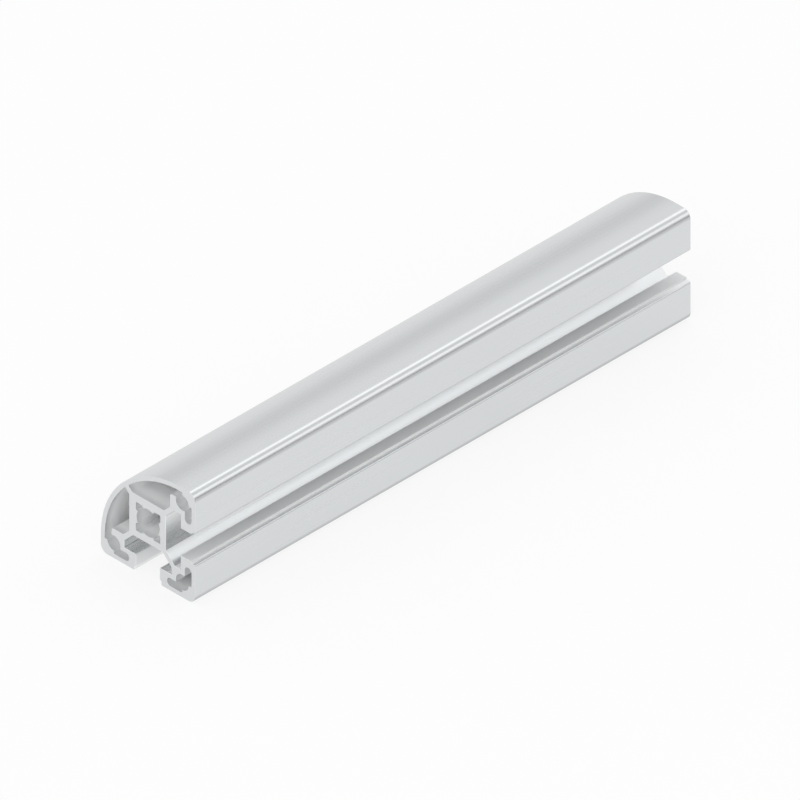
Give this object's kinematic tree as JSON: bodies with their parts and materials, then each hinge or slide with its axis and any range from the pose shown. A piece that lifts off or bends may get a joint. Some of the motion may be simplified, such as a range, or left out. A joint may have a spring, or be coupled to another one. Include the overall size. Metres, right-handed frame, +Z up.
{
  "type": "aluminium extrusion profile",
  "caption": "Length of aluminium framing profile with a quarter-round face, T-slots for sliding nuts and a hollow ribbed section, for bolting into machine frames and enclosures.",
  "frame": {"origin": "middle of the bar's length and width, on its slotted lower face", "axes": "+Z up, +Y along the bar, +X out of the slotted side face, away from the round face"},
  "size_m": [0.04, 0.21, 0.04],
  "materials": {
    "anodised_aluminium": "natural satin anodised, sawn ends"
  },
  "bodies": {
    "root": {"profile": "anodised_aluminium"}
  },
  "joints": []
}
